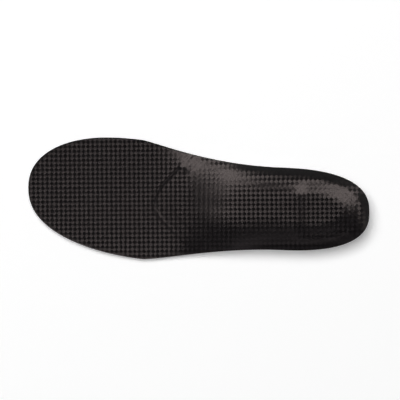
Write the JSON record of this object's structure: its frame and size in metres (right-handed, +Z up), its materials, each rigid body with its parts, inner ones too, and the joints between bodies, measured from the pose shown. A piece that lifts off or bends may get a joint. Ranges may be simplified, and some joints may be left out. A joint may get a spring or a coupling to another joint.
{
  "type": "foot orthosis",
  "caption": "Full-length foot orthosis for a left shoe: layered sole with a raised arch, a cupped heel and a woven top.",
  "frame": {"origin": "middle of the footprint's box, on the plane that the orthosis rests on", "axes": "+X from the toes back to the heel, +Y towards the medial (arch) side, +Z up"},
  "size_m": [0.268, 0.0958, 0.0238],
  "materials": {
    "carbon_weave_cover": "satin plain weave",
    "cushion_foam": "matt open-cell foam",
    "pad_foam": "matt foam, skived edges",
    "carbon_laminate": "satin moulded laminate",
    "eva_foam": "ground matt",
    "brushed_lining": "short brushed nap",
    "grip_rubber": "fine moulded grip"
  },
  "bodies": {
    "root": {"top_cover": "carbon_weave_cover", "cushion_layer": "cushion_foam", "arch_pad": "pad_foam", "heel_pad": "pad_foam", "carbon_shell": "carbon_laminate", "forefoot_extension": "eva_foam", "forefoot_lining": "brushed_lining", "rearfoot_post": "eva_foam", "post_grip": "grip_rubber"}
  },
  "joints": []
}
